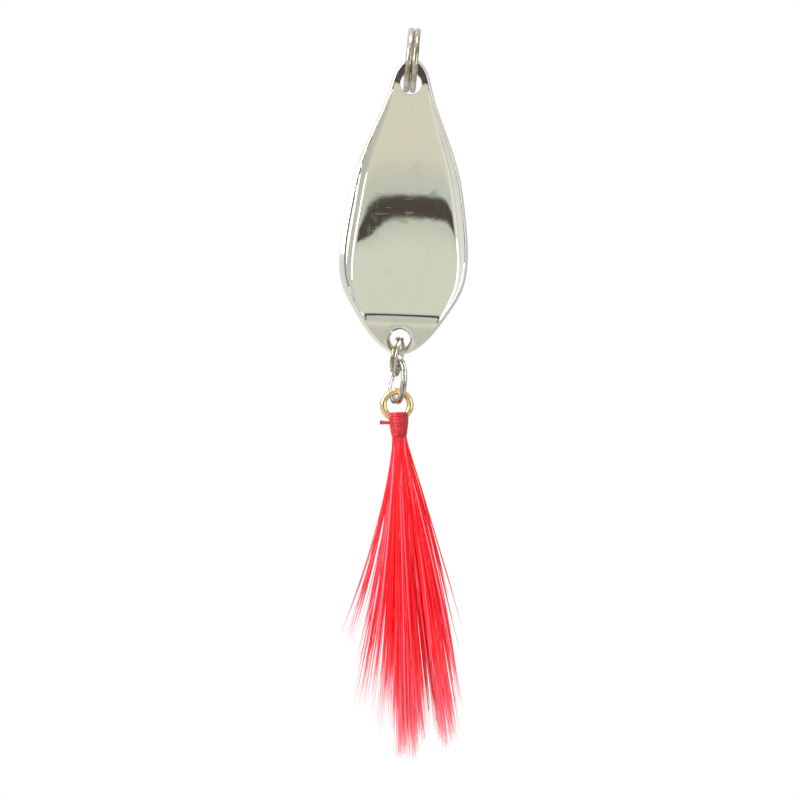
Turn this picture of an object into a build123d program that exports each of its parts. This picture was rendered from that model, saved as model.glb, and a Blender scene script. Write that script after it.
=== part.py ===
from build123d import *
import math
import os

# A pressed metal casting spoon that hangs from its line ring, with two linked split rings,
# a single hook and a tail of dyed hair tied round the hook's shank.
# Millimetres. The origin is the centre of the line ring, +Z is up and -Y is the dished front.

# ---- Split rings: outside diameter, and the flat wire's width (along the axis) and depth ----
LINE_RING_OD = 10.0
LINE_WIRE_WIDTH = 0.92
LINE_WIRE_DEPTH = 0.90
UPPER_RING_OD = 6.15
UPPER_WIRE_WIDTH = 0.52
UPPER_WIRE_DEPTH = 0.70
LOWER_RING_OD = 7.10
LOWER_WIRE_WIDTH = 0.42
LOWER_WIRE_DEPTH = 0.62
COIL_GAP = 0.06             # between the two coils of one split ring
WIRE_CORNER_SHARE = 0.30    # corner radius of the wire, as a share of its smaller side
CROSSING_SPAN = 48.0        # degrees over which the wire crosses from one coil to the other
CROSSING_STEPS = 6
COIL_END_CLEARANCE = 3.0    # degrees between a wire's end and the crossing

# ---- Where each ring's wire crosses over, in degrees from its lowest point towards the back,
# ---- how far its last coil reaches past that, and the side that coil lies on ----
LINE_CROSSING = (152.0, 309.0, 1)
UPPER_CROSSING = (150.0, 135.0, -1)
LOWER_CROSSING = (90.0, 309.0, 1)

# ---- How the rings stand at rest ----
LINE_RING_LEAN = 2.5        # about Y, top towards +X
UPPER_RING_LEAN = 7.0
UPPER_RING_TWIST = -9.0     # about its own leaning line through top and bottom
LOWER_RING_LEAN = 2.0
LOWER_RING_TWIST = 17.0
LOWER_RING_ASIDE = 0.25     # to +X of the upper one's centre
RING_LINK_OVERLAP = 2.165   # between the wire centres where the lower ring hangs in the upper

# ---- Spoon blade ----
BLADE_LENGTH = 46.2
BLADE_WIDTH = 19.8
WIDEST_AT = 31.0            # down from the top tip
SHEET = 1.20                # thickness of the metal
TOP_HOLE_DIAMETER = 3.30
TOP_HOLE_DOWN = 4.05        # from the top tip to the hole's centre
BOTTOM_HOLE_DIAMETER = 3.15
BOTTOM_HOLE_UP = 2.50       # from the bottom tip to the hole's centre
LINE_RING_SLOPE = 41.0      # degrees round the line ring from its lowest point to the blade
RIM_WIDTH = 1.30            # flange between the outline and the dish
RIM_BEVEL_WIDTH = 0.90
RIM_BEVEL_DEPTH = 0.45
DISH_TOP_DOWN = 5.9         # from the top tip to the upper crease
TAB_LENGTH = 6.3            # from the lower crease to the bottom tip
TAB_TILT = 12.0             # degrees the lower tab bends back
DISH_DEPTH = 1.80
DISH_WALL_SLOPE = 42.0      # degrees off the blade's thickness direction
DISH_STATIONS = (-0.985, -0.85, -0.6, -0.3, 0.0, 0.3, 0.6, 0.85, 0.985)  # shares of half its length
DISH_LAP = 0.3              # of the dish's outside into the plate, so that they are one piece
CUT_PAST_FACE = 0.4
HOLE_TOOL_LENGTH = 5.0
OUTLINE_SEARCH_STEPS = 30
UPPER_RING_SLACK = 0.125    # of the upper tail ring's wire above the bottom hole's centre
UPPER_RING_IN_FRONT = 0.90  # of the middle of the tab's thickness

# Half widths of the outline, as shares of the widest half width, and how far down each lies:
# above the widest place as shares of that length, below it as shares of what is left.
UPPER_FLANK = [(0.045, 0.205), (0.155, 0.333), (0.35, 0.556), (0.57, 0.808), (0.80, 0.945)]
LOWER_FLANK = [(0.31, 0.93), (0.55, 0.735), (0.79, 0.485), (0.955, 0.205)]

# ---- Hook ----
HOOK_WIRE = 1.05
HOOK_EYE_OD = 5.20
HOOK_LENGTH = 33.0          # from the eye's centre to the bottom of the bend
BEND_RADIUS = 5.4           # to the wire's centre line
POINT_LEG = 10.5            # straight wire above the bend
POINT_TAPER = 3.2
POINT_TIP_RADIUS = 0.06
BARB_ROOT_UP = 0.96         # above the foot of the point's taper
BARB_TIP_DOWN = 0.80
BARB_HEIGHT = 0.55
BARB_THICKNESS = 0.5
EYE_LINK_OVERLAP = 1.665    # between the wire centres where the eye hangs in the lower ring
TAIL_LEAN = 4.2             # degrees the hook and tail lean, foot towards +X

# ---- Tying ----
THREAD_CLEARANCE = 0.015    # between the layers of the tying
BASE_LAYER = 0.12
BASE_BOTTOM_DOWN = 6.2
WHIPPING_TOP_DOWN = 1.10
WHIPPING_BOTTOM_DOWN = 4.80
WHIPPING_TOP_WALL = 0.565   # over the radius of the tied hair
WHIPPING_WAIST_WALL = 0.49
WHIPPING_BOTTOM_WALL = 0.19
HAIR_BUTT_DOWN = 3.1
HAIR_ROOT_THICKNESS = 0.275
TAG_DIAMETER = 0.55
TAG_DOWN = 2.75
TAG_ROOT_OUT = 0.14         # its buried end, past the radius of the tied hair
TAG_STICKS_OUT = 1.20       # its cut end, past the waist of the whipping

# ---- Hair, tied in locks round the shank; distances down are from the eye's centre ----
HAIR_GAP = 0.06             # flat gap between neighbouring locks
HAIR_CLEARANCE = 0.02       # between the hair and the base layer
HAIR_DEPTH_SHARE = 0.62     # the spread tail's depth against its width
HAIR_SPREAD = [(8.0, 1.42), (12.0, 2.15), (19.0, 3.45), (27.0, 5.45)]
HAIR_FLARE_DOWN = 37.0
LOCK_TIP_SIZE = 0.7
BEND_SLOT_CLEARANCE = 0.12
# Each lock: name, length, reach where the tail is widest, and reach of its tip.
LOCKS = [
    ("right_back_hair_lock", 47.5, 7.2, 8.3),
    ("back_right_hair_lock", 54.0, 6.4, 4.0),
    ("back_left_hair_lock", 54.6, 6.6, 3.2),
    ("left_back_hair_lock", 46.5, 8.8, 6.9),
    ("left_front_hair_lock", 51.2, 7.8, 4.8),
    ("front_left_hair_lock", 55.2, 6.4, 2.0),
    ("front_right_hair_lock", 55.4, 6.2, 1.7),
    ("right_front_hair_lock", 53.0, 6.9, 7.4),
]

os.makedirs("parts", exist_ok=True)

# ---- Worked-out places ----
line_radius = (LINE_RING_OD - LINE_WIRE_DEPTH) / 2
slope = math.radians(LINE_RING_SLOPE)
blade_mid_y = line_radius * math.sin(slope)
blade_front_y = blade_mid_y - SHEET / 2
top_tip_z = TOP_HOLE_DOWN - line_radius * math.cos(slope)
top_hole_z = top_tip_z - TOP_HOLE_DOWN
tilt = math.radians(TAB_TILT)
crease_z = top_tip_z - (BLADE_LENGTH - TAB_LENGTH)
dish_top_z = top_tip_z - DISH_TOP_DOWN
dish_mid_z = (dish_top_z + crease_z) / 2
half_chord = (dish_top_z - crease_z) / 2
floor_radius = (half_chord**2 + DISH_DEPTH**2) / (2 * DISH_DEPTH)

# The lower tab's own plane: its hinge line is the lower crease on the blade's front.
tab_plane = Plane(
    origin=(0, blade_front_y, crease_z),
    x_dir=(1, 0, 0),
    z_dir=(0, -math.cos(tilt), -math.sin(tilt)),
)
bottom_hole_down = TAB_LENGTH - BOTTOM_HOLE_UP
bottom_hole = tab_plane.from_local_coords(Vector(0, -bottom_hole_down, -SHEET / 2))
upper_radius = (UPPER_RING_OD - UPPER_WIRE_DEPTH) / 2
lower_radius = (LOWER_RING_OD - LOWER_WIRE_DEPTH) / 2
eye_radius = (HOOK_EYE_OD - HOOK_WIRE) / 2
upper_ring_drop = upper_radius - UPPER_RING_SLACK
upper_ring_aside = -upper_ring_drop * math.sin(math.radians(UPPER_RING_LEAN))
upper_ring_down = bottom_hole_down + upper_ring_drop
lower_ring_drop = upper_radius + lower_radius - RING_LINK_OVERLAP
eye_drop = lower_radius + eye_radius - EYE_LINK_OVERLAP
upper_ring_centre = tab_plane.from_local_coords(
    Vector(upper_ring_aside, -upper_ring_down, UPPER_RING_IN_FRONT - SHEET / 2)
)
lower_ring_centre = upper_ring_centre + Vector(LOWER_RING_ASIDE, 0, -lower_ring_drop)
eye_centre = lower_ring_centre - Vector(0, 0, eye_drop)
tail_place = Pos(*eye_centre) * Rot(0, -TAIL_LEAN, 0)
bend_start = HOOK_LENGTH - HOOK_WIRE / 2 - BEND_RADIUS
base_radius = HOOK_WIRE / 2 + THREAD_CLEARANCE + BASE_LAYER
lock_sector = 2 * math.pi / len(LOCKS)
hair_inner_radius = (base_radius + HAIR_CLEARANCE) / math.cos(lock_sector / 2)
hair_root_radius = hair_inner_radius + HAIR_ROOT_THICKNESS
whipping_waist_radius = hair_root_radius + WHIPPING_WAIST_WALL
tag_root = hair_root_radius + TAG_ROOT_OUT
tag_end = whipping_waist_radius + TAG_STICKS_OUT


def split_ring(outside, width, depth, crossing_at, last_arc, side):
    """Two flat coils side by side, joined where the wire crosses over. The axis is X.

    The first coil is a whole turn less the crossing, on the side away from side;
    the last coil starts at the crossing's end and covers last_arc degrees.
    """
    radius = (outside - depth) / 2
    corner = WIRE_CORNER_SHARE * min(width, depth)
    offset = side * (width + COIL_GAP) / 2
    first_arc = 360 - CROSSING_SPAN - COIL_END_CLEARANCE

    def section(angle, along):
        """The wire's section at an angle from the ring's lowest point towards the back."""
        flat = RectangleRounded(width, depth, corner)
        face = Plane(origin=(along, 0, -radius), x_dir=(1, 0, 0), z_dir=(0, -1, 0)) * flat
        return face.rotate(Axis.X, angle)

    start = crossing_at - CROSSING_SPAN / 2
    crossing = []
    for step in range(CROSSING_STEPS + 1):
        share = step / CROSSING_STEPS
        eased = share * share * (3 - 2 * share)
        crossing.append(section(start + share * CROSSING_SPAN, offset * (2 * eased - 1)))
    first = revolve(section(start - first_arc, -offset), Axis.X, first_arc)
    last = revolve(section(start + CROSSING_SPAN, offset), Axis.X, last_arc)
    return first + loft(crossing) + last


def place_ring(ring, centre, lean, twist):
    return Pos(*centre) * Rot(0, lean, 0) * Rot(0, 0, twist) * ring


def outline_points(inset):
    """The blade's right-hand edge from the top tip down, moved in by an inset."""
    half = BLADE_WIDTH / 2
    below = BLADE_LENGTH - WIDEST_AT
    points = [(0.0, 0.0)]
    points += [(half * w, WIDEST_AT * s) for s, w in UPPER_FLANK]
    points += [(half, WIDEST_AT)]
    points += [(half * w, WIDEST_AT + below * s) for s, w in LOWER_FLANK]
    points += [(0.0, BLADE_LENGTH)]
    moved = [(0.0, inset)]
    for before, here, after in zip(points, points[1:], points[2:]):
        run_x, run_s = after[0] - before[0], after[1] - before[1]
        length = math.hypot(run_x, run_s)
        moved.append((here[0] - inset * run_s / length, here[1] + inset * run_x / length))
    return moved + [(0.0, BLADE_LENGTH - inset)]


def outline_edge(inset):
    """The whole outline as one closed curve, clockwise from the top tip. Local Y is up."""
    right = outline_points(inset)
    left = [(-x, down) for x, down in reversed(right[1:-1])]
    return Spline(*[(x, -down) for x, down in right + left], periodic=True)


def half_width(down):
    """Half the blade's width at a distance down from the top tip."""
    edge = outline_edge(0)
    low, high = 0.0, 0.5
    for _ in range(OUTLINE_SEARCH_STEPS):
        middle = (low + high) / 2
        if -(edge @ middle).Y < down:
            low = middle
        else:
            high = middle
    return (edge @ low).X


def bevelled_plate():
    """The flat blank, standing on its back face at local Z = -SHEET, front face at 0."""
    outline = make_face(outline_edge(0))
    bevel = loft(
        [make_face(outline_edge(RIM_BEVEL_WIDTH)), Pos(0, 0, -RIM_BEVEL_DEPTH) * outline],
        ruled=True,
    )
    body = extrude(Pos(0, 0, -SHEET) * outline, SHEET - RIM_BEVEL_DEPTH)
    return body + bevel


def dish(extra, front):
    """The dished space, or with extra thickness its outside. Local X across, Z to the front."""
    slant = math.tan(math.radians(DISH_WALL_SLOPE))
    step = extra * (1 - math.sin(math.radians(DISH_WALL_SLOPE)))
    step = step / math.cos(math.radians(DISH_WALL_SLOPE))
    sections = []
    for share in DISH_STATIONS:
        up = share * half_chord
        depth = math.sqrt(floor_radius**2 - up**2) - (floor_radius - DISH_DEPTH)
        down = top_tip_z - (dish_mid_z + up)
        level = half_width(down) - RIM_WIDTH + step
        wide = level + slant * (front + extra)
        narrow = level - slant * depth
        floor = -extra - depth
        corners = [(-wide, front), (-narrow, floor), (narrow, floor), (wide, front)]
        shape = Polyline(*corners, close=True)
        across = Plane(origin=(0, -down, 0), x_dir=(1, 0, 0), z_dir=(0, -1, 0))
        sections.append(across * make_face(shape))
    return loft(sections)


def spoon_blade():
    """A pressed spoon: bevelled rim, long dish, and a lower tab bent back."""
    local = Plane(origin=(0, blade_front_y, top_tip_z), x_dir=(1, 0, 0), z_dir=(0, -1, 0))
    blank = bevelled_plate()
    tall = BLADE_LENGTH * 2
    lower = Pos(0, -(BLADE_LENGTH - TAB_LENGTH) - tall / 2, 0) * Box(tall, tall, tall)
    tab = local * (blank & lower)
    tab = tab.rotate(Axis((0, blade_front_y, crease_z), (1, 0, 0)), TAB_TILT)
    pan = blank - lower
    pan = pan + dish(SHEET, DISH_LAP - SHEET) - dish(0, CUT_PAST_FACE)
    blade = local * pan + tab
    top = Plane(origin=(0, blade_mid_y, top_hole_z), z_dir=(0, -1, 0))
    bottom = Plane(origin=bottom_hole, x_dir=(1, 0, 0), z_dir=tab_plane.z_dir)
    blade = blade - top * Cylinder(TOP_HOLE_DIAMETER / 2, HOLE_TOOL_LENGTH)
    return blade - bottom * Cylinder(BOTTOM_HOLE_DIAMETER / 2, HOLE_TOOL_LENGTH)


def rod(radius, top_down, bottom_down):
    """A round bar on the shank's axis, between two distances down from the eye's centre."""
    return Pos(0, 0, -(top_down + bottom_down) / 2) * Cylinder(radius, bottom_down - top_down)


def eye_ring(wire_radius):
    return Rot(90, 0, 0) * Torus(eye_radius, wire_radius)


def hook():
    """Ringed hook: eye in the XZ plane, straight shank, half-round bend to the back, barbed point."""
    radius = HOOK_WIRE / 2
    far = 2 * BEND_RADIUS
    leg_top = -bend_start + POINT_LEG
    path = Wire(
        [
            Edge.make_line((0, 0, -eye_radius), (0, 0, -bend_start)),
            ThreePointArc(
                (0, 0, -bend_start), (0, BEND_RADIUS, -bend_start - BEND_RADIUS), (0, far, -bend_start)
            ),
            Edge.make_line((0, far, -bend_start), (0, far, leg_top - POINT_TAPER)),
        ]
    )
    start = Plane(origin=(0, 0, -eye_radius), z_dir=(0, 0, -1))
    wire = sweep(start * Circle(radius), path)
    point = Cone(radius, POINT_TIP_RADIUS, POINT_TAPER)
    point = Pos(0, far, leg_top - POINT_TAPER / 2) * point
    root_y = far - radius / 2
    taper_foot = leg_top - POINT_TAPER
    barb_tip = taper_foot - BARB_TIP_DOWN
    corners = [
        (root_y, taper_foot + BARB_ROOT_UP),
        (far - radius - BARB_HEIGHT, barb_tip),
        (root_y, barb_tip + BARB_HEIGHT),
    ]
    barb = make_face(Plane.YZ * Polyline(*corners, close=True))
    barb = extrude(barb, BARB_THICKNESS / 2, both=True)
    return eye_ring(radius) + wire + point + barb


def thread_base():
    """The first layer of thread, wound on the bare shank under the hair."""
    wound = rod(base_radius, HAIR_BUTT_DOWN, BASE_BOTTOM_DOWN)
    return wound - rod(HOOK_WIRE / 2 + THREAD_CLEARANCE, eye_radius, HOOK_LENGTH)


def tag_stem(radius, inner):
    """The thread's cut end, standing out to the left."""
    middle = -(tag_end + inner) / 2
    return Pos(middle, 0, -TAG_DOWN) * Rot(0, 90, 0) * Cylinder(radius, tag_end - inner)


def thread_whipping():
    """Thread wound over the foot of the eye and the butts of the hair."""
    profile = Polyline(
        (0, -WHIPPING_TOP_DOWN),
        (hair_root_radius + WHIPPING_TOP_WALL, -WHIPPING_TOP_DOWN),
        (whipping_waist_radius, -TAG_DOWN),
        (hair_root_radius + WHIPPING_BOTTOM_WALL, -WHIPPING_BOTTOM_DOWN),
        (0, -WHIPPING_BOTTOM_DOWN),
        close=True,
    )
    body = revolve(make_face(Plane.XZ * profile), Axis.Z)
    hollow = hair_root_radius + THREAD_CLEARANCE
    butts = HAIR_BUTT_DOWN - THREAD_CLEARANCE
    body -= rod(hollow, butts, WHIPPING_BOTTOM_DOWN + HOOK_WIRE)
    wire = HOOK_WIRE / 2 + THREAD_CLEARANCE
    body -= eye_ring(wire) + rod(wire, eye_radius, butts + HOOK_WIRE)
    return body - tag_stem(TAG_DIAMETER / 2 + THREAD_CLEARANCE, tag_root - THREAD_CLEARANCE)


def lock_section(down, outer, depth_share, thickness, from_angle, to_angle):
    """One five-sided slice of a hair lock between two radial planes."""

    def corner(radius, angle, side):
        turned = angle + side * math.asin(HAIR_GAP / 2 / radius)
        return (radius * math.cos(turned), radius * math.sin(turned))

    def reach(angle):
        return outer / math.hypot(math.cos(angle), math.sin(angle) / depth_share)

    def inside(angle):
        return max(hair_inner_radius, reach(angle) - thickness)

    middle = (from_angle + to_angle) / 2
    corners = [
        corner(inside(from_angle), from_angle, 1),
        corner(reach(from_angle), from_angle, 1),
        corner(reach(middle), middle, 0),
        corner(reach(to_angle), to_angle, -1),
        corner(inside(to_angle), to_angle, -1),
    ]
    return Pos(0, 0, -down) * make_face(Polyline(*corners, close=True))


def hair_lock(index, length, flare, tip_reach):
    """One lock of the tail: a sector round the shank that spreads and then draws to a tip."""
    angles = (index * lock_sector, (index + 1) * lock_sector)
    root = hair_root_radius
    full = max(flare, tip_reach)
    stations = [(HAIR_BUTT_DOWN, root, 1.0, full), (WHIPPING_BOTTOM_DOWN, root, 1.0, full)]
    for step, (down, reach) in enumerate(HAIR_SPREAD):
        share = 1 - (1 - HAIR_DEPTH_SHARE) * (step + 1) / len(HAIR_SPREAD)
        stations.append((down, reach, share, full))
    stations.append((HAIR_FLARE_DOWN, flare, HAIR_DEPTH_SHARE, full))
    stations.append((length, tip_reach, HAIR_DEPTH_SHARE, LOCK_TIP_SIZE))
    lock = loft([lock_section(*station, *angles) for station in stations], ruled=True)
    slot_top = bend_start - 2 * BEND_SLOT_CLEARANCE
    slot_bottom = HOOK_LENGTH + 2 * BEND_SLOT_CLEARANCE
    slot = Box(
        HOOK_WIRE + 2 * BEND_SLOT_CLEARANCE,
        2 * BEND_RADIUS,
        slot_bottom - slot_top,
        align=(Align.CENTER, Align.MIN, Align.CENTER),
    )
    return lock - Pos(0, 0, -(slot_top + slot_bottom) / 2) * slot


def write(name, solid):
    solid.label = name
    export_step(solid, f"parts/{name}.step")


line_ring = split_ring(LINE_RING_OD, LINE_WIRE_WIDTH, LINE_WIRE_DEPTH, *LINE_CROSSING)
write("line_split_ring", place_ring(line_ring, (0, 0, 0), LINE_RING_LEAN, 0))
write("spoon_blade", spoon_blade())
upper_ring = split_ring(UPPER_RING_OD, UPPER_WIRE_WIDTH, UPPER_WIRE_DEPTH, *UPPER_CROSSING)
write(
    "upper_tail_split_ring",
    place_ring(upper_ring, upper_ring_centre, UPPER_RING_LEAN, UPPER_RING_TWIST),
)
lower_ring = split_ring(LOWER_RING_OD, LOWER_WIRE_WIDTH, LOWER_WIRE_DEPTH, *LOWER_CROSSING)
write(
    "lower_tail_split_ring",
    place_ring(lower_ring, lower_ring_centre, LOWER_RING_LEAN, LOWER_RING_TWIST),
)
write("hook", tail_place * hook())
write("thread_base", tail_place * thread_base())
write("thread_whipping", tail_place * thread_whipping())
write("thread_tag", tail_place * tag_stem(TAG_DIAMETER / 2, tag_root))
for number, (lock_name, lock_length, lock_flare, lock_tip) in enumerate(LOCKS):
    write(lock_name, tail_place * hair_lock(number, lock_length, lock_flare, lock_tip))
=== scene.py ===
import bmesh
import bpy
import math
import random
from mathutils import Matrix, Vector
from mathutils.kdtree import KDTree


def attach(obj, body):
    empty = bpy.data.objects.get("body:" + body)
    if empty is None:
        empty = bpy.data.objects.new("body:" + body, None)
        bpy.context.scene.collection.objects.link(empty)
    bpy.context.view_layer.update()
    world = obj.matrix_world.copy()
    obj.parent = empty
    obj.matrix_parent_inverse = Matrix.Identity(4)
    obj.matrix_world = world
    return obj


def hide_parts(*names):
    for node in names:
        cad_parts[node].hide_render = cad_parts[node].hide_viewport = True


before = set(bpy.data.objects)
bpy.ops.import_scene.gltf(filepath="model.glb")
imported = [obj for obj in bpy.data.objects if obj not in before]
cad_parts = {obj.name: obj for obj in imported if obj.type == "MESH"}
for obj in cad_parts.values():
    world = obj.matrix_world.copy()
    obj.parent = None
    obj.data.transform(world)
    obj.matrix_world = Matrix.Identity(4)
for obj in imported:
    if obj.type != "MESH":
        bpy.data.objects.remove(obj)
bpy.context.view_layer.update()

MM = 0.001
random.seed(11)

# The blade, in millimetres: distances down are from its top tip.
BLADE_LENGTH = 46.2
BLADE_HALF_WIDTH = 9.9
WIDEST_AT = 31.0
SHEET = 1.2
FRONT_Y = 2.385
TIP_Z = 0.616
TOP_HOLE = (3.30, 4.05)
BOTTOM_HOLE = (3.15, 43.7)
BEVEL_DEPTH = 0.30
LAND = 0.14                     # flat metal between the bevel and the dish
HOLE_LIP = (0.22, 0.9)          # depth and width of the dip round the lower hole
DRILL_LENGTH = 5
HOLE_SIDES = 72
HOLE_ROUNDING = 0.06
SHORTEST_RIM_EDGE = 0.03
RIM_ROWS = [0.0, 0.05, 0.14, 0.24, 0.32, 0.36, 0.42, 0.48, 0.56, 0.66, 0.78, 0.84, 0.94, 1.04, 1.14]
RIM_ROWS += [1.24, 1.35, 1.47, 1.60, 1.75, 1.92, 2.12, 2.36, 2.64]
EVEN_RIM = 1.24                 # rows further in than this crowd together at the tips
PANEL_ROWS = 30
DISH_TOP = 5.9
CREASE = 39.9
TAB_TILT = math.radians(12)
DISH_DEPTH = 1.8
WALL_SLANT = 0.50
UPPER_FLANK = [(0.045, 0.205), (0.155, 0.333), (0.35, 0.556), (0.57, 0.808), (0.80, 0.945)]
LOWER_FLANK = [(0.31, 0.93), (0.55, 0.735), (0.79, 0.485), (0.955, 0.205)]

# The tail: distances down are from the middle of the hook's eye, along the leaning shank.
EYE = Vector((-0.067, 3.422, -53.056))
TAIL_LEAN = math.radians(4.2)
tail_place = Matrix.Translation(EYE * MM) @ Matrix.Rotation(-TAIL_LEAN, 4, "Y") @ Matrix.Scale(MM, 4)


# ---- Shader sums ----

class Value:
    """A number in a node tree; sums with it add Math nodes."""

    def __init__(self, finish, socket):
        self.finish = finish
        self.socket = socket

    def sum(self, operation, first, second):
        node = self.finish.add("ShaderNodeMath", {"operation": operation}, {0: first, 1: second})
        return Value(self.finish, node.outputs[0])

    def __add__(self, other):
        return self.sum("ADD", self, other)

    def __sub__(self, other):
        return self.sum("SUBTRACT", self, other)

    def __rsub__(self, other):
        return self.sum("SUBTRACT", other, self)

    def __mul__(self, other):
        return self.sum("MULTIPLY", self, other)

    def __abs__(self):
        return self.finish.number(self.finish.add("ShaderNodeMath", {"operation": "ABSOLUTE"}, {0: self}))

    __radd__ = __add__
    __rmul__ = __mul__


class Finish:
    """A node tree under construction, for a material or the world."""

    def __init__(self, owner):
        self.owner = owner
        owner.use_nodes = True
        self.tree = owner.node_tree
        self.tree.nodes.clear()

    def add(self, kind, settings=None, sockets=None):
        node = self.tree.nodes.new(kind)
        for name, setting in (settings or {}).items():
            if name == "stops":
                ramp = node.color_ramp.elements
                for place, (at, colour) in enumerate(setting):
                    stop = ramp[place] if place < len(ramp) else ramp.new(at)
                    stop.position = at
                    stop.color = (*colour, 1)
            else:
                setattr(node, name, setting)
        for name, value in (sockets or {}).items():
            socket = node.inputs[name]
            if isinstance(value, Value):
                self.tree.links.new(value.socket, socket)
            elif isinstance(value, bpy.types.NodeSocket):
                self.tree.links.new(value, socket)
            else:
                socket.default_value = value
        return node

    def number(self, node, output=0):
        return Value(self, node.outputs[output])

    def place(self):
        return self.add("ShaderNodeTexCoord").outputs["Object"]

    def mapped(self, vector, scale, turn=(0, 0, 0)):
        sockets = {"Vector": vector, "Scale": scale, "Rotation": turn}
        return self.add("ShaderNodeMapping", None, sockets).outputs[0]

    def noise(self, vector, scale, detail=3.0, roughness=0.5):
        sockets = {"Vector": vector, "Scale": scale, "Detail": detail, "Roughness": roughness}
        return self.number(self.add("ShaderNodeTexNoise", None, sockets))

    def between(self, value, low, high):
        """0 below low, 1 above high, and eased in between."""
        settings = {"interpolation_type": "SMOOTHSTEP"}
        sockets = {"Value": value, "From Min": low, "From Max": high}
        return self.number(self.add("ShaderNodeMapRange", settings, sockets))

    def mix(self, share, first, second):
        first = first if isinstance(first, bpy.types.NodeSocket) else (*first, 1)
        second = second if isinstance(second, bpy.types.NodeSocket) else (*second, 1)
        node = self.add("ShaderNodeMix", {"data_type": "RGBA"}, {0: share, 6: first, 7: second})
        return node.outputs[2]

    def ramp(self, value, stops):
        return self.add("ShaderNodeValToRGB", {"stops": stops}, {0: value}).outputs[0]

    def bump(self, height, strength, distance):
        sockets = {"Height": height, "Strength": strength, "Distance": distance}
        return self.add("ShaderNodeBump", None, sockets).outputs[0]

    def surface(self, sockets):
        shader = self.add("ShaderNodeBsdfPrincipled", None, sockets)
        out = self.add("ShaderNodeOutputMaterial")
        self.tree.links.new(shader.outputs[0], out.inputs["Surface"])
        return self.owner


def finish_named(name):
    return Finish(bpy.data.materials.new(name))


# ---- Materials ----

def plated_steel(name, colour, warm, patch, smooth, scratch):
    """Bright plated metal: slow ripples from pressing, hair scratches and dull handling marks."""
    f = finish_named(name)
    at = f.place()
    cloud = f.noise(at, patch, 4.0)
    fine = f.noise(at, 1400.0, 3.0)
    lines = f.noise(f.mapped(at, (5200, 5200, 260), turn=(0.2, 0.5, 0.3)), 1.0, 2.0)
    hair = f.between(lines, 0.66, 0.72)
    lines_two = f.noise(f.mapped(at, (300, 4200, 4200), turn=(0.1, -0.7, 0.6)), 1.0, 2.0)
    hair = hair + f.between(lines_two, 0.68, 0.74) * 0.7
    marks = f.between(f.noise(at, 420.0, 5.0, 0.6), 0.56, 0.75)
    tint = f.mix(f.between(cloud, 0.35, 0.7), colour, warm)
    tint = f.mix(marks * 0.25, tint, tuple(c * 0.72 for c in colour))
    rough = smooth + cloud * 0.03 + marks * 0.09 + hair * 0.10 * scratch
    height = cloud * 0.5 + fine * 0.02 - hair * 0.03 * scratch
    normal = f.bump(height, 0.10, 0.0004)
    return f.surface({
        "Base Color": tint,
        "Metallic": 1.0,
        "Roughness": rough,
        "Normal": normal,
    })


def gold_wire():
    """Gold-lacquered hook wire: polished, with thin darker patches and drawing lines."""
    f = finish_named("gold_hook_wire")
    at = f.place()
    cloud = f.noise(at, 500.0, 4.0)
    lines = f.noise(f.mapped(at, (6000, 6000, 500)), 1.0, 3.0)
    worn = f.between(f.noise(at, 900.0, 5.0, 0.6), 0.58, 0.74)
    tint = f.mix(cloud, (0.93, 0.62, 0.24), (1.0, 0.82, 0.48))
    tint = f.mix(worn * 0.5, tint, (0.42, 0.22, 0.05))
    return f.surface({
        "Base Color": tint,
        "Metallic": 1.0,
        "Roughness": cloud * 0.08 + worn * 0.14 + lines * 0.05 + 0.07,
        "Normal": f.bump(lines * 0.4 + cloud, 0.15, 0.00004),
    })


def red_thread():
    """Waxed red nylon thread: fine twist, uneven patches of red, and painted shade on its right side."""
    f = finish_named("red_tying_thread")
    at = f.place()
    twist = f.noise(f.mapped(at, (2600, 2600, 9000), turn=(0.5, 0.3, 0)), 1.0, 3.0)
    cloud = f.noise(at, 1300.0, 3.0)
    tint = f.mix(f.between(cloud, 0.3, 0.7), (0.55, 0.003, 0.010), (0.90, 0.015, 0.040))
    tint = f.mix(f.between(twist, 0.5, 0.8) * 0.35, tint, (0.90, 0.10, 0.14))
    # Painted shade: the winding is darkened towards its right side (+x), away from the key light.
    place = f.add("ShaderNodeSeparateXYZ", None, {0: at})
    side = f.between(Value(f, place.outputs[0]), -0.0014, 0.0018)
    tint = f.mix(side * 0.6, tint, (0.30, 0.002, 0.004))
    return f.surface({
        "Base Color": tint,
        "Roughness": cloud * 0.15 + 0.28,
        "Coat Weight": 0.35,
        "Coat Roughness": 0.2,
        "Normal": f.bump(twist, 0.5, 0.00003),
    })


def tag_thread():
    """The same thread where it was cut: its end has gone dark."""
    f = finish_named("cut_thread_end")
    at = f.place()
    place = f.add("ShaderNodeSeparateXYZ", None, {0: at})
    end_x = (EYE.x + TAG_END) * MM
    dark = 1 - f.between(Value(f, place.outputs[0]), end_x + 0.0001, end_x + 0.0007)
    grain = f.noise(f.mapped(at, (900, 9000, 9000)), 1.0, 3.0)
    tint = f.mix(grain, (0.42, 0.004, 0.015), (0.85, 0.05, 0.09))
    tint = f.mix(dark * 0.88, tint, (0.03, 0.0, 0.003))
    return f.surface({
        "Base Color": tint,
        "Roughness": grain * 0.2 + 0.35,
        "Normal": f.bump(grain, 0.4, 0.00003),
    })


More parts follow.
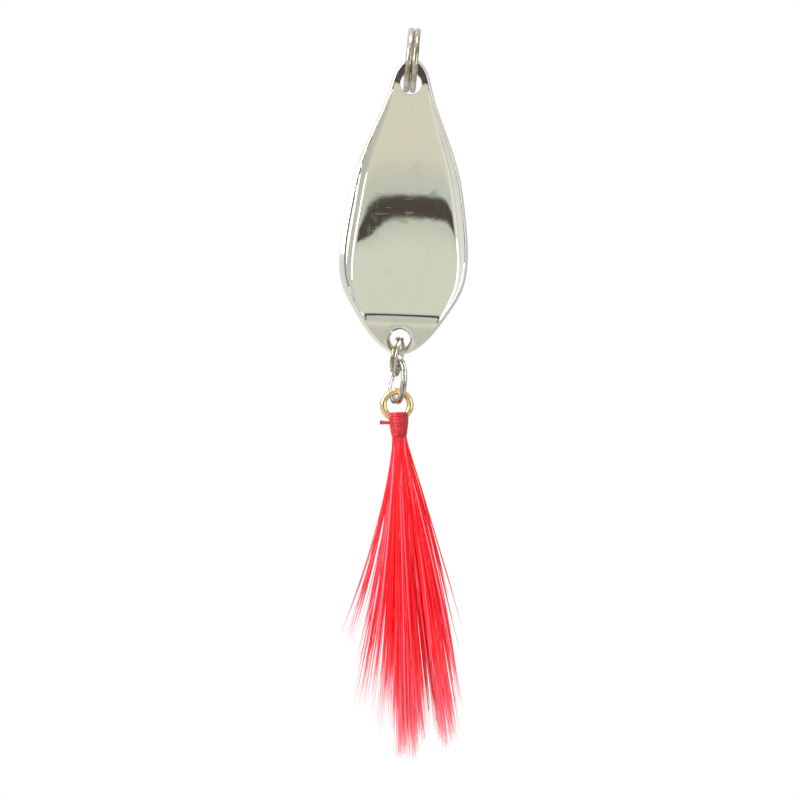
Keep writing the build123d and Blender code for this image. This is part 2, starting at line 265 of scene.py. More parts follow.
def dyed_hair():
    """Dyed bucktail: deep red at the tie, bright down the lock, washed out at the tips, with painted pink
    highlights, painted shade between hairs and a painted glow.
    """
    f = finish_named("dyed_red_hair")
    at = f.place()
    along = f.number(f.add("ShaderNodeAttribute", {"attribute_name": "along"}), 2)
    # Each hair's pick: a high pick paints a pink highlight on it, a low pick paints shade.
    tint = f.number(f.add("ShaderNodeAttribute", {"attribute_name": "tint"}), 2)
    grain_and_sheen_streak = f.noise(f.mapped(at, (3000, 3000, 240)), 1.0, 3.0)
    colour = f.ramp(along, [
        (0.0, (0.45, 0.001, 0.006)),
        (0.10, (0.80, 0.003, 0.010)),
        (0.40, (0.95, 0.004, 0.010)),
        (0.76, (0.95, 0.008, 0.020)),
        (0.93, (0.95, 0.13, 0.18)),
        (1.0, (0.96, 0.50, 0.55)),
    ])
    # Painted highlight: hairs with a high pick get a pink sheen.
    colour = f.mix(f.between(tint, 0.82, 0.97) * 0.75, colour, (0.93, 0.24, 0.36))
    # Painted shade: hairs with a low pick are darkened, like the shade between hairs.
    colour = f.mix(f.between(0.35 - tint, 0.0, 0.3) * 0.6, colour, (0.42, 0.0, 0.004))
    # Painted highlight: pink dashes along the hairs where the streak noise is high; the same noise also
    # sets roughness and bumps.
    colour = f.mix(f.between(grain_and_sheen_streak, 0.58, 0.76) * 0.5, colour, (0.95, 0.20, 0.34))
    return f.surface({
        "Base Color": colour,
        "Roughness": grain_and_sheen_streak * 0.2 + 0.36,
        # Painted glow: the hair emits its own colour, in place of light passing through the dyed hair.
        "Emission Color": colour,
        "Emission Strength": 0.16,
        "Normal": f.bump(grain_and_sheen_streak, 0.3, 0.00004),
    })


def pale_floor():
    f = finish_named("pale_floor")
    at = f.place()
    cloud = f.noise(at, 9.0, 3.0)
    return f.surface({
        "Base Color": f.mix(cloud, (0.86, 0.86, 0.85), (0.92, 0.92, 0.91)),
        "Roughness": cloud * 0.1 + 0.6,
    })


# ---- Small helpers for pieces ----

def new_piece(name, mesh, material, body, node):
    """A finished piece that rides on a body in place of a node."""
    piece = bpy.data.objects.new(name, mesh)
    bpy.context.collection.objects.link(piece)
    mesh.materials.clear()
    mesh.materials.append(material)
    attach(piece, body)
    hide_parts(node)


def mesh_from(bm, name, sharp_angle=35):
    """The finished mesh, smooth but for edges sharper than an angle."""
    bm.normal_update()
    for face in bm.faces:
        face.smooth = True
    for edge in bm.edges:
        edge.smooth = edge.calc_face_angle(0.0) < math.radians(sharp_angle)
    mesh = bpy.data.meshes.new(name)
    bm.to_mesh(mesh)
    bm.free()
    return mesh


SAME_PLACE = 0.0001             # millimetres: closer than this, two points are one


def curve_mesh(name, paths, thickness, roundness, caps=True):
    """One mesh of round strands along paths of (point, thickness share), with its caps welded on."""
    curve = bpy.data.curves.new(name, "CURVE")
    curve.dimensions = "3D"
    curve.bevel_depth = thickness
    curve.bevel_resolution = roundness
    curve.use_fill_caps = caps
    for path, closed in paths:
        spline = curve.splines.new("POLY")
        spline.points.add(len(path) - 1)
        for point, (place, share) in zip(spline.points, path):
            point.co = (*place, 1)
            point.radius = share
        spline.use_cyclic_u = closed
        spline.use_smooth = True
    holder = bpy.data.objects.new(name, curve)
    bpy.context.collection.objects.link(holder)
    bpy.context.view_layer.update()
    shaped = holder.evaluated_get(bpy.context.evaluated_depsgraph_get())
    mesh = bpy.data.meshes.new_from_object(shaped)
    bpy.data.objects.remove(holder)
    mesh.name = name
    if caps:
        bm = bmesh.new()
        bm.from_mesh(mesh)
        bmesh.ops.remove_doubles(bm, verts=bm.verts, dist=SAME_PLACE * MM)
        bmesh.ops.recalc_face_normals(bm, faces=bm.faces)
        bm.to_mesh(mesh)
        bm.free()
    return mesh


def eased(value, low, high):
    """0 below low, 1 above high, and eased in between."""
    share = min(1.0, max(0.0, (value - low) / (high - low)))
    return share * share * (3 - 2 * share)


# ---- Blade ----

def closed_spline(points, steps):
    """A smooth closed curve through points, by cubic pieces with matched bends."""
    count = len(points)
    gaps = [(points[(i + 1) % count] - points[i]).length for i in range(count)]
    slopes = [Vector((0, 0)) for _ in points]
    for _ in range(80):
        for i in range(count):
            before, after = gaps[i - 1], gaps[i]
            ahead, behind = points[(i + 1) % count] - points[i], points[i] - points[i - 1]
            target = 3 * (ahead * before / after + behind * after / before)
            target -= slopes[i - 1] * after + slopes[(i + 1) % count] * before
            slopes[i] = target / (2 * (before + after))
    curve = []
    for i in range(count):
        start, end, gap = points[i], points[(i + 1) % count], gaps[i]
        pieces = max(2, round(gap / steps))
        for step in range(pieces):
            t = step / pieces
            point = start * (2 * t**3 - 3 * t**2 + 1) + end * (3 * t**2 - 2 * t**3)
            point += slopes[i] * gap * (t**3 - 2 * t**2 + t)
            point += slopes[(i + 1) % count] * gap * (t**3 - t**2)
            curve.append(point)
    return curve


def blade_outline():
    below = BLADE_LENGTH - WIDEST_AT
    right = [Vector((0, 0))]
    right += [Vector((BLADE_HALF_WIDTH * w, WIDEST_AT * s)) for s, w in UPPER_FLANK]
    right += [Vector((BLADE_HALF_WIDTH, WIDEST_AT))]
    right += [Vector((BLADE_HALF_WIDTH * w, WIDEST_AT + below * s)) for s, w in LOWER_FLANK]
    right += [Vector((0, BLADE_LENGTH))]
    left = [Vector((-p.x, p.y)) for p in reversed(right[1:-1])]
    return closed_spline(right + left, 0.34)


def bevel_width(across, down):
    """The rim's bevel: even on the right, and broad on the left round the widest place."""
    broad = 0.46 * eased(down, 11.0, 24.0) * (1 - 0.6 * eased(down, 33.0, 42.0))
    return 0.34 + broad * eased(-across, -2.0, 5.0)


def dish_depth(across, down, from_edge):
    """How far the front is pressed in at a place on the blade."""
    middle = (DISH_TOP + CREASE) / 2
    half = (CREASE - DISH_TOP) / 2
    radius = (half**2 + DISH_DEPTH**2) / (2 * DISH_DEPTH)
    lift = 0.085 * across**2 * (1 - eased(down, 6.0, 15.0))
    up = middle - (down + lift)
    floor = math.sqrt(radius**2 - up**2) - (radius - DISH_DEPTH)
    floor += 0.27 * math.exp(-((across + 6.6) ** 2) / 8 - (up + 8.0) ** 2 / 30)
    floor = (floor + math.sqrt(floor**2 + 0.10)) / 2 * eased(half + 1.6 - abs(up), 0.0, 1.2)
    wall = (from_edge - bevel_width(across, down) - LAND) / WALL_SLANT
    if wall <= 0 or floor <= 0:
        return 0.0
    least = (wall + floor - math.sqrt((wall - floor) ** 2 + 0.42 * floor)) / 2
    return max(0.0, least)


def blade_point(across, down, proud):
    """A place on the blade in the row frame. The lower tab bends back at its crease."""
    past = down - CREASE
    bent = (past + math.sqrt(past**2 + 1.8)) / 2
    turn = TAB_TILT * eased(past, -1.4, 1.4)
    y = FRONT_Y + bent * math.sin(TAB_TILT) - proud * math.cos(turn)
    z = TIP_Z - CREASE - past + bent * (1 - math.cos(TAB_TILT)) - proud * math.sin(turn)
    return Vector((across, y, z)) * MM


def blade_mesh():
    outline = blade_outline()
    count = len(outline)
    middle_line = [Vector((0, min(CREASE - 1.5, max(DISH_TOP + 1.2, p.y)))) for p in outline]
    inward = []
    for i, point in enumerate(outline):
        along = outline[(i + 1) % count] - outline[i - 1]
        normal = Vector((-along.y, along.x)).normalized()
        if normal.dot(middle_line[i] - point) < 0:
            normal = -normal
        inward.append(normal)
    tree = KDTree(count)
    for i, point in enumerate(outline):
        tree.insert((point.x, point.y, 0), i)
    tree.balance()
    shares = [step / PANEL_ROWS for step in range(1, PANEL_ROWS + 1)]

    def row(inset, share):
        places = []
        for point, normal, centre in zip(outline, inward, middle_line):
            room = 0.05 + 0.95 * eased(point.y, 4.0, 10.0) * (1 - eased(point.y, 38.0, 43.0))
            edge = point + normal * (inset if inset < EVEN_RIM else EVEN_RIM + (inset - EVEN_RIM) * room)
            places.append(edge.lerp(centre, share))
        return places

    rows = [row(inset, 0.0) for inset in RIM_ROWS] + [row(RIM_ROWS[-1], share) for share in shares]

    def side(bm, front):
        """One face of the sheet, extruded inwards row by row from its outline."""
        first = None
        edges = []
        verts = []
        for places in rows:
            moved = []
            for place in places:
                from_edge = tree.find((place.x, place.y, 0))[2]
                corner = 0.10 + 0.12 * eased(place.y, 42.0, 45.0)
                rounded = corner * max(0.0, 1 - from_edge / corner) ** 2
                depth = dish_depth(place.x, place.y, from_edge)
                if front:
                    bevel = BEVEL_DEPTH * max(0.0, 1 - from_edge / bevel_width(place.x, place.y))
                    lip = math.hypot(place.x, place.y - BOTTOM_HOLE[1]) - BOTTOM_HOLE[0] / 2
                    bevel += HOLE_LIP[0] * max(0.0, 1 - max(0.0, lip) / HOLE_LIP[1]) ** 2
                    proud = -depth - bevel - rounded
                else:
                    proud = -depth - SHEET + rounded
                moved.append(blade_point(place.x, place.y, proud))
            if not verts:
                verts = [bm.verts.new(p) for p in moved]
                edges = [bm.edges.new((verts[i - 1], verts[i])) for i in range(count)]
                first = list(edges)
                continue
            made = bmesh.ops.extrude_edge_only(bm, edges=edges)["geom"]
            new_verts = {v for v in made if isinstance(v, bmesh.types.BMVert)}
            inner = []
            for vert in verts:
                beside = [e.other_vert(vert) for e in vert.link_edges]
                inner.append(next(other for other in beside if other in new_verts))
            for vert, place in zip(inner, moved):
                vert.co = place
            verts = inner
            edges = [bm.edges.get((verts[i - 1], verts[i])) for i in range(count)]
        return first

    bm = bmesh.new()
    front_edge = side(bm, True)
    back_edge = side(bm, False)
    bmesh.ops.bridge_loops(bm, edges=front_edge + back_edge)
    bmesh.ops.remove_doubles(bm, verts=bm.verts, dist=0.0005 * MM)
    bmesh.ops.recalc_face_normals(bm, faces=bm.faces)
    put_in_order(bm)
    return mesh_from(bm, "blade_blank")


def put_in_order(bm):
    """Sorts a mesh by place, so that what is made from it is the same in every run."""
    along = Vector((1.0, 1.618, 2.718))
    bm.verts.sort(key=lambda vert: vert.co.dot(along))
    bm.edges.sort(key=lambda edge: (edge.verts[0].co + edge.verts[1].co).dot(along))
    bm.faces.sort(key=lambda face: face.calc_center_median().dot(along))


def square_edges(bm):
    return [e for e in bm.edges if len(e.link_faces) == 2 and e.calc_face_angle(0.0) > math.radians(60)]


def drilled(mesh, holes):
    """The mesh with round holes cut through it: each a diameter, a centre and a direction."""
    blank = bpy.data.objects.new("blade_blank", mesh)
    bpy.context.collection.objects.link(blank)
    drills = []
    for number, (diameter, centre, direction) in enumerate(holes):
        bm = bmesh.new()
        turn = direction.to_track_quat("Z", "Y").to_matrix().to_4x4()
        radius = diameter / 2 * MM
        bmesh.ops.create_cone(
            bm, cap_ends=True, segments=HOLE_SIDES, radius1=radius, radius2=radius,
            depth=DRILL_LENGTH * MM, matrix=Matrix.Translation(centre) @ turn,
        )
        drill = bpy.data.objects.new(f"drill_{number}", mesh_from(bm, f"drill_{number}"))
        bpy.context.collection.objects.link(drill)
        cut = blank.modifiers.new(f"hole_{number}", "BOOLEAN")
        cut.operation = "DIFFERENCE"
        cut.solver = "EXACT"
        cut.object = drill
        drills.append(drill)
    bpy.context.view_layer.update()
    shaped = blank.evaluated_get(bpy.context.evaluated_depsgraph_get())
    bm = bmesh.new()
    bm.from_mesh(shaped.to_mesh())
    for helper in [blank, *drills]:
        bpy.data.objects.remove(helper)
    put_in_order(bm)
    corners = {v for e in square_edges(bm) for v in e.verts}
    bmesh.ops.remove_doubles(bm, verts=[v for v in bm.verts if v in corners], dist=SHORTEST_RIM_EDGE * MM)
    bmesh.ops.dissolve_degenerate(bm, edges=bm.edges, dist=0.001 * MM)
    bmesh.ops.bevel(
        bm, geom=square_edges(bm), offset=HOLE_ROUNDING * MM, offset_type="OFFSET", affect="EDGES",
        segments=2, profile=0.5, material=-1, clamp_overlap=True,
    )
    return mesh_from(bm, "spoon_blade_pressed", 40)


def make_blade(material):
    tab_normal = Vector((0, -math.cos(TAB_TILT), -math.sin(TAB_TILT)))
    holes = [
        (TOP_HOLE[0], blade_point(0, TOP_HOLE[1], -SHEET / 2), Vector((0, -1, 0))),
        (BOTTOM_HOLE[0], blade_point(0, BOTTOM_HOLE[1], -SHEET / 2), tab_normal),
    ]
    mesh = drilled(blade_mesh(), holes)
    new_piece("pressed_spoon_blade", mesh, material, "blade", "spoon_blade")


# ---- Split rings ----

COIL_GAP = 0.06
CROSSING_ARC = 48.0
CROSSING_STEPS = 12
END_GAP = 3.0                   # degrees between the wire's first end and the crossing


def ring_mesh(name, outside, width, depth, crossing_at, last_arc, side, centre, lean, twist):
    """Rounded flat wire spun round the ring: one coil, the crossing, then the last coil."""
    radius = (outside - depth) / 2
    offset = side * (width + COIL_GAP) / 2
    first_arc = 360 - CROSSING_ARC - END_GAP
    start = crossing_at - CROSSING_ARC / 2
    bm = bmesh.new()
    bmesh.ops.create_grid(bm, x_segments=1, y_segments=1, size=0.5)
    bmesh.ops.scale(bm, vec=(width, depth, 1), verts=bm.verts)
    bmesh.ops.bevel(
        bm, geom=bm.verts[:], offset=0.45 * min(width, depth), offset_type="OFFSET", affect="VERTICES",
        segments=4, profile=0.5, material=-1,
    )
    stand = Matrix.Translation((-offset, 0, -radius)) @ Matrix.Rotation(math.radians(90), 4, "X")
    first_end = Matrix.Rotation(math.radians(start - first_arc), 4, "X")
    bmesh.ops.transform(bm, matrix=first_end @ stand, verts=bm.verts)
    section = bm.faces[:]

    def carry(faces, angle, steps, slide):
        made = bmesh.ops.spin(
            bm, geom=faces, cent=(0, 0, 0), axis=(1, 0, 0), dvec=(slide / steps, 0, 0),
            angle=math.radians(angle), steps=steps, use_duplicate=False,
        )
        return [part for part in made["geom_last"] if isinstance(part, bmesh.types.BMFace)]

    section = carry(section, first_arc, round(first_arc / 3), 0.0)
    for step in range(CROSSING_STEPS):
        moved = eased(step + 1, 0, CROSSING_STEPS) - eased(step, 0, CROSSING_STEPS)
        section = carry(section, CROSSING_ARC / CROSSING_STEPS, 1, moved * 2 * offset)
    section = carry(section, last_arc, round(last_arc / 3), 0.0)
    bmesh.ops.remove_doubles(bm, verts=bm.verts, dist=0.001)
    inside = [face for face in bm.faces if all(len(edge.link_faces) > 2 for edge in face.edges)]
    bmesh.ops.delete(bm, geom=inside, context="FACES_ONLY")
    bmesh.ops.recalc_face_normals(bm, faces=bm.faces)
    turn = Matrix.Rotation(math.radians(lean), 4, "Y") @ Matrix.Rotation(math.radians(twist), 4, "Z")
    place = Matrix.Translation(Vector(centre) * MM) @ turn @ Matrix.Scale(MM, 4)
    bmesh.ops.transform(bm, matrix=place, verts=bm.verts)
    return mesh_from(bm, name, 50)


def make_rings(material):
    """Each ring's sizes are in ring_mesh's order."""
    rings = [
        ("sprung_line_ring", "line_ring", "line_split_ring",
         (10.0, 0.92, 0.90, 152.0, 309.0, 1, (0, 0, 0), 2.5, 0.0)),
        ("sprung_upper_tail_ring", "upper_ring", "upper_tail_split_ring",
         (6.15, 0.52, 0.70, 150.0, 135.0, -1, (-0.3169, 3.4223, -45.6064), 7.0, -9.0)),
        ("sprung_lower_tail_ring", "lower_ring", "lower_tail_split_ring",
         (7.10, 0.42, 0.62, 90.0, 309.0, 1, (-0.0669, 3.4223, -49.4064), 2.0, 17.0)),
    ]
    for name, body, node, sizes in rings:
        new_piece(name, ring_mesh(name, *sizes), material, body, node)


# ---- Hook ----

HOOK_WIRE = 1.05
EYE_RADIUS = 2.075
BEND_START = 27.075
BEND_RADIUS = 5.4
SHANK = BEND_START - EYE_RADIUS
POINT_TOP = -BEND_START + 10.5
POINT_TAPER = 3.2
EYE_STEPS = 96


def hook_mesh():
    """The eye, the shank with its bend and the ground point, and the raised barb."""
    eye = []
    for step in range(EYE_STEPS):
        angle = math.tau * step / EYE_STEPS
        place = Vector((EYE_RADIUS * math.sin(angle), 0, EYE_RADIUS * math.cos(angle)))
        eye.append((tail_place @ place, 1))
    wire = [((0, 0, -EYE_RADIUS - SHANK * step / 20), 1) for step in range(20)]
    for step in range(49):
        angle = math.pi * step / 48
        y = BEND_RADIUS * (1 - math.cos(angle))
        wire.append(((0, y, -BEND_START - BEND_RADIUS * math.sin(angle)), 1))
    far = 2 * BEND_RADIUS
    foot = POINT_TOP - POINT_TAPER
    wire += [((0, far, -BEND_START + step * (foot + BEND_START) / 6), 1) for step in range(1, 7)]
    for step in range(1, 17):
        share = step / 16
        wire.append(((0, far, foot + POINT_TAPER * share), max(0.03, 1 - share**1.25)))
    wire = [(tail_place @ Vector(place), share) for place, share in wire]
    mesh = curve_mesh("gold_hook", [(eye, True), (wire, False)], HOOK_WIRE / 2 * MM, 5)
    bm = bmesh.new()
    bm.from_mesh(mesh)
    lean_in = Matrix.Rotation(math.radians(158), 4, "X")
    flatten = Matrix.Diagonal((0.8, 1.0, 1.0, 1.0))
    barb = bmesh.ops.create_cone(
        bm, cap_ends=True, segments=12, radius1=0.30, radius2=0.02, depth=1.9,
        matrix=Matrix.Translation((0, far - 0.60, foot - 0.05)) @ lean_in @ flatten,
    )
    bmesh.ops.transform(bm, matrix=tail_place, verts=barb["verts"])
    return mesh_from(bm, "gold_hook", 50)


# ---- Tying ----

THREAD_RADIUS = 0.075
WINDING_TOP = (1.1, 1.575)      # down from the eye, and radius
WINDING_MIDDLE = (2.75, 1.5)
WINDING_BOTTOM = (4.8, 1.2)
CORE = [(0.0, 1.12), (1.30, 1.13), (1.44, 1.25), (1.38, 2.75), (1.12, 4.6), (1.02, 4.78), (0.0, 4.79)]


def winding_radius(down):
    """The outside of the winding, which tapers a little and then more."""
    above, below = WINDING_TOP, WINDING_MIDDLE
    if down >= WINDING_MIDDLE[0]:
        above, below = WINDING_MIDDLE, WINDING_BOTTOM
    return above[1] + (below[1] - above[1]) * (down - above[0]) / (below[0] - above[0])


def whipping_mesh():
    """A core with the thread wound round it in close turns, and a few turns that cross them."""
    paths = []
    for top, bottom, turns, phase in ((1.16, 4.72, 24, 0.0), (4.60, 1.30, 7, 2.1)):
        path = []
        steps = turns * 20
        for step in range(steps + 1):
            share = step / steps
            down = top + (bottom - top) * share
            down += 0.035 * math.sin(share * turns * 1.7 + phase)
            radius = winding_radius(down) - THREAD_RADIUS * 0.9 + (0.03 if turns < 10 else 0.0)
            radius += 0.02 * math.sin(share * 57 + phase)
            angle = 2 * math.pi * turns * share + phase
            around = Vector((radius * math.cos(angle) + TAIL_ASIDE, radius * math.sin(angle), -down))
            path.append((tail_place @ around, 1))
        paths.append((path, False))
    turns_of_thread = curve_mesh("thread_turns", paths, THREAD_RADIUS * MM, 1)
    bm = bmesh.new()
    verts = [bm.verts.new((radius, 0, -down)) for radius, down in CORE]
    edges = [bm.edges.new(pair) for pair in zip(verts, verts[1:])]
    bmesh.ops.spin(
        bm, geom=verts + edges, cent=(0, 0, 0), axis=(0, 0, 1), angle=math.tau, steps=48, use_merge=True,
    )
    bmesh.ops.remove_doubles(bm, verts=bm.verts, dist=SAME_PLACE)
    aside = tail_place @ Matrix.Translation((TAIL_ASIDE, 0, 0))
    bmesh.ops.transform(bm, matrix=aside, verts=bm.verts)
    bmesh.ops.recalc_face_normals(bm, faces=bm.faces)
    bm.from_mesh(turns_of_thread)
    return mesh_from(bm, "red_thread_whipping", 60)


TAG_FILAMENTS = 13
TAG_ROOT = -1.2
TAG_END = -2.70
TAG_DOWN = 2.75
TAG_RADIUS = 0.24
FILAMENT_RADIUS = 0.10


def tag_mesh():
    """The cut end of the tying thread: a few filaments, splayed a little."""
    paths = []
    for number in range(TAG_FILAMENTS):
        angle = number * 2.4
        spread = TAG_RADIUS * math.sqrt(number / TAG_FILAMENTS)
        y, z = spread * math.cos(angle), spread * math.sin(angle)
        end = TAG_END + 0.10 * random.random()
        path = []
        for step in range(7):
            share = step / 6
            open_out = 0.75 + 0.45 * share**2
            x = TAG_ROOT + (end - TAG_ROOT) * share
            place = Vector((x, y * open_out, -TAG_DOWN + z * open_out + 0.12 * share))
            path.append((tail_place @ place, 1))
        paths.append((path, False))
    return curve_mesh("thread_cut_end", paths, FILAMENT_RADIUS * MM, 2)


# ---- Hair ----
# Each lock: name, first angle, and its wisps: where each one's tip is (across, back, down),
# its number of hairs, and how late they spread.

LOCKS = [
    ("right_back_hair_lock", 0,
     [((6.6, 1.2, 51.5), 34, 1.15), ((5.6, 1.7, 52.2), 36, 1.2), ((7.7, 0.9, 46.5), 7, 1.05),
      ((4.6, 2.0, 46.0), 16, 1.2), ((7.0, 1.0, 48.8), 18, 1.1)]),
    ("back_right_hair_lock", 45,
     [((1.0, 2.2, 54.4), 52, 1.25), ((2.2, 2.3, 51.0), 36, 1.25), ((3.4, 2.2, 48.0), 14, 1.2),
      ((5.0, 1.9, 52.6), 26, 1.2)]),
    ("back_left_hair_lock", 90,
     [((-1.0, 2.0, 54.3), 46, 1.25), ((-2.0, 2.2, 50.5), 20, 1.25), ((-0.2, 2.0, 53.0), 52, 1.25),
      ((-3.3, 2.3, 46.0), 12, 1.3)]),
    ("left_back_hair_lock", 135,
     [((-8.9, 0.3, 35.6), 7, 1.35), ((-7.8, 0.6, 41.8), 10, 1.3), ((-6.6, 1.0, 46.4), 13, 1.25),
      ((-5.0, 1.4, 44.5), 14, 1.25), ((-3.6, 1.6, 49.5), 15, 1.25)]),
    ("left_front_hair_lock", 180,
     [((-9.1, -0.2, 36.1), 8, 1.35), ((-8.4, -0.6, 38.6), 9, 1.35), ((-7.2, -0.8, 45.7), 15, 1.25),
      ((-6.2, -1.0, 47.9), 15, 1.25), ((-5.1, -1.2, 43.0), 14, 1.25), ((-4.0, -1.2, 51.0), 18, 1.25),
      ((-2.9, -1.3, 47.0), 15, 1.25)]),
    ("front_left_hair_lock", 225,
     [((-1.4, -1.4, 54.9), 48, 1.3), ((-0.6, -1.6, 53.0), 44, 1.3), ((-2.1, -1.8, 50.0), 22, 1.3),
      ((-0.2, -1.2, 55.0), 40, 1.3)]),
    ("front_right_hair_lock", 270,
     [((0.6, -1.2, 55.0), 52, 1.3), ((1.6, -1.6, 52.4), 38, 1.3), ((2.4, -1.6, 51.8), 30, 1.25),
      ((1.0, -1.9, 49.0), 34, 1.3), ((3.4, -1.8, 45.5), 12, 1.2)]),
    ("right_front_hair_lock", 315,
     [((5.3, -1.2, 53.2), 56, 1.2), ((6.5, -0.9, 52.4), 46, 1.15), ((5.9, -1.3, 50.0), 30, 1.2),
      ((4.3, -1.6, 45.5), 14, 1.2), ((7.7, -0.5, 46.8), 8, 1.05), ((8.4, 0.3, 40.0), 4, 1.05)]),
]
LOOSE_LOCKS = ("left_back_hair_lock", "left_front_hair_lock")    # thin, with gaps between hairs
HAIR_THICKNESS = 0.10
HAIR_SIDES = 4
HAIR_POINTS = 12
TIE_DOWN = 3.2
TIE_RADIUS = 0.96
TAIL_ASIDE = 0.22               # of the tail to the right of the eye's middle


def strand(first_angle, tip, bow, loose):
    """One hair from the tie to near its wisp's tip."""
    angle = math.radians(first_angle + 45 * random.random())
    start = TIE_RADIUS * math.sqrt(0.12 + 0.88 * random.random())
    across, back, down = tip
    short = abs(random.gauss(0, 0.045)) + (0.32 * random.random() if random.random() < 0.35 else 0)
    end = down * (1 - min(0.40, short))
    spread = 0.75 if loose or random.random() < 0.25 else 0.30
    across += max(-1.2, min(1.2, random.gauss(0, spread)))
    back += max(-2.2, min(2.2, random.gauss(0, 1.1)))
    bow = max(1.05, bow + 0.14 + random.gauss(0, 0.08))
    bulge = eased(across, 1.0, 7.0) * random.uniform(0.5, 1.2)
    wave, phase = random.gauss(0, 0.08), random.uniform(0, 6)
    coarse = 0.82 if loose else 1.0
    path = []
    for step in range(HAIR_POINTS):
        t = step / (HAIR_POINTS - 1)
        here = TIE_DOWN + (end - TIE_DOWN) * t
        share = (here - TIE_DOWN) / (down - TIE_DOWN)
        out = share**bow
        x = start * math.cos(angle) * (1 - share * 0.5) + across * out
        x += bulge * math.sin(math.pi * min(1.0, share)) * eased(share, 0.02, 0.25)
        y = start * math.sin(angle) * (1 - share * 0.5) + back * out
        x += wave * math.sin(t * 5 + phase) * t + TAIL_ASIDE
        y += wave * math.cos(t * 4 + phase) * t
        thick = (0.80 + 0.20 * eased(t, 0.0, 0.2)) * (1 - 0.80 * eased(t, 0.72, 1.0)) * coarse
        path.append((tail_place @ Vector((x, y, -here)), thick))
    return path


def make_hair(material):
    """One piece for each lock, with every hair's own pick for the painted highlight and painted shade, and
    its closed ends.
    """
    for name, first_angle, wisps in LOCKS:
        paths, sheen_and_shade_picks = [], []
        loose = name in LOOSE_LOCKS
        for tip, count, bow in wisps:
            for _ in range(round(count * (0.72 if loose else 1.0))):
                paths.append((strand(first_angle, tip, bow, loose), False))
                # Each hair's pick for the painted pink highlight (high) and painted shade (low); loose
                # locks get no painted shade.
                sheen_and_shade_picks.append(random.uniform(0.45 if loose else 0.0, 1.0))
        mesh = curve_mesh(name, paths, HAIR_THICKNESS * MM, 0, caps=False)
        along, tint = [], []
        for shade in sheen_and_shade_picks:
            for step in range(HAIR_POINTS):
                along += [step / (HAIR_POINTS - 1)] * HAIR_SIDES
                tint += [shade] * HAIR_SIDES
        for label, values in (("along", along), ("tint", tint)):
            layer = mesh.attributes.new(label, "FLOAT", "POINT")
            layer.data.foreach_set("value", values)
        bm = bmesh.new()
        bm.from_mesh(mesh)
        bmesh.ops.holes_fill(bm, edges=[e for e in bm.edges if e.is_boundary], sides=HAIR_SIDES)
        bmesh.ops.recalc_face_normals(bm, faces=bm.faces)
        bm.to_mesh(mesh)
        bm.free()
        piece_name = name.replace("_hair_lock", "_lock_of_hair")
        new_piece(piece_name, mesh, material, "tail", name)


# ---- Studio, in metres ----

MIDDLE = Vector((0, 0, -0.055))
FLOOR_Z = -0.20
FLOOR_RADIUS = 1.15
CAMERA_AWAY = 0.9
FRAME_WIDTH = 0.12308           # seen across, at the object
SENSOR = 36


def make_world():
    """White behind the object. Reflections show a pale room, dark in a strip ahead and in a band behind."""
    world = bpy.data.worlds.new("pale_room")
    bpy.context.scene.world = world
    f = Finish(world)
    way = f.add("ShaderNodeTexCoord").outputs["Generated"]
    parts = f.add("ShaderNodeSeparateXYZ", None, {0: way})
    x, y, z = (Value(f, parts.outputs[i]) for i in range(3))
    ahead = f.between(0.0 - y, 0.55, 0.95)
    room = f.mix(f.between(z, -0.3, 0.5), (0.80, 0.79, 0.74), (1.0, 1.0, 0.98))
    room = f.mix(f.between(x, -0.2, 0.7) * 0.55, room, (0.36, 0.38, 0.35))
    height = abs(z + 0.05)
    behind = f.between(y, 0.25, 0.75) * (1 - f.between(height, 0.06, 0.42))
    room = f.mix(behind * 0.85, room, (0.09, 0.09, 0.06))
    front = f.mix(f.between(z, -0.42, -0.30), (0.50, 0.53, 0.44), (0.70, 0.69, 0.56))
    front = f.mix(f.between(z, -0.20, -0.03), front, (0.55, 0.59, 0.50))
    front = f.mix(f.between(z, 0.06, 0.20), front, (0.68, 0.70, 0.57))
    colour = f.mix(ahead, room, front)
    level = abs(z - 0.033)
    dark = (1 - f.between(level, 0.032, 0.050)) * f.between(0.0 - y, 0.88, 0.95)
    colour = f.mix(dark * 0.93, colour, (0.035, 0.022, 0.016))
    seen = f.add("ShaderNodeBackground", None, {0: (1, 1, 1, 1), 1: 1.0})
    lit = f.add("ShaderNodeBackground", None, {0: colour, 1: 1.0})
    camera_ray = f.add("ShaderNodeLightPath").outputs["Is Camera Ray"]
    both = f.add("ShaderNodeMixShader", None, {0: camera_ray, 1: lit.outputs[0], 2: seen.outputs[0]})
    out = f.add("ShaderNodeOutputWorld")
    f.tree.links.new(both.outputs[0], out.inputs["Surface"])


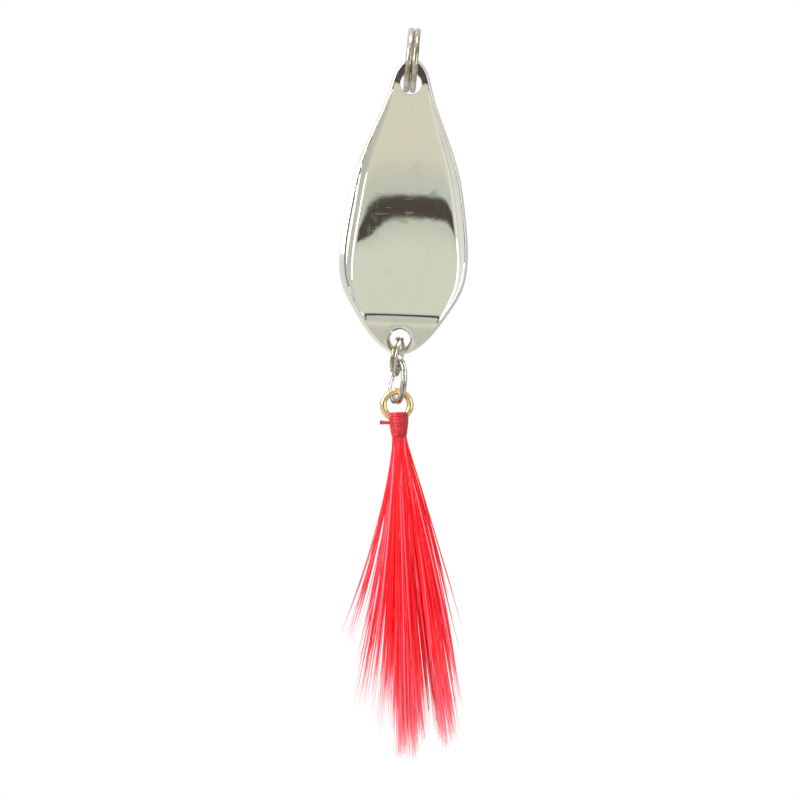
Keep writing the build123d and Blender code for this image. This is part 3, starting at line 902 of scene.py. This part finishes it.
def soft_light(name, place, size, watts):
    data = bpy.data.lights.new(name, "AREA")
    data.shape = "RECTANGLE"
    data.size, data.size_y = size
    data.energy = watts
    light = bpy.data.objects.new(name, data)
    bpy.context.collection.objects.link(light)
    light.location = place
    aim = MIDDLE - Vector(place)
    light.rotation_euler = aim.to_track_quat("-Z", "Y").to_euler()


def make_studio():
    make_world()
    soft_light("key_box", (-0.62, -0.55, 0.28), (0.34, 0.60), 5.0)
    soft_light("fill_box", (0.70, -0.50, 0.05), (0.30, 0.50), 1.0)
    soft_light("top_box", (0.05, -0.15, 0.75), (0.60, 0.40), 2.0)
    bm = bmesh.new()
    level = Matrix.Translation((0, 0, FLOOR_Z))
    bmesh.ops.create_circle(bm, cap_ends=True, segments=96, radius=FLOOR_RADIUS, matrix=level)
    floor = bpy.data.objects.new("studio_floor", mesh_from(bm, "studio_floor"))
    floor.data.materials.append(pale_floor())
    bpy.context.collection.objects.link(floor)
    floor.visible_glossy = False


def make_camera():
    data = bpy.data.cameras.new("camera")
    data.sensor_width = SENSOR
    data.lens = SENSOR * CAMERA_AWAY / FRAME_WIDTH
    data.clip_start = 0.05
    camera = bpy.data.objects.new("camera", data)
    camera.location = (0.0004, -CAMERA_AWAY, -0.05228)
    camera.rotation_euler = (math.radians(90), math.radians(-2.46), 0)
    bpy.context.collection.objects.link(camera)
    bpy.context.scene.camera = camera


def make_all():
    bpy.context.scene.view_settings.view_transform = "Standard"
    make_camera()
    chrome = plated_steel("blade_chrome", (0.91, 0.91, 0.89), (0.92, 0.90, 0.85), 90.0, 0.03, 0.8)
    nickel = plated_steel("ring_nickel", (0.66, 0.65, 0.62), (0.34, 0.26, 0.14), 620.0, 0.07, 0.6)
    make_blade(chrome)
    make_rings(nickel)
    new_piece("gold_ringed_hook", hook_mesh(), gold_wire(), "tail", "hook")
    thread = red_thread()
    new_piece("red_thread_winding", whipping_mesh(), thread, "tail", "thread_whipping")
    new_piece("red_thread_tag", tag_mesh(), tag_thread(), "tail", "thread_tag")
    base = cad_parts["thread_base"]
    base.data.materials.clear()
    base.data.materials.append(thread)
    make_hair(dyed_hair())
    make_studio()


make_all()
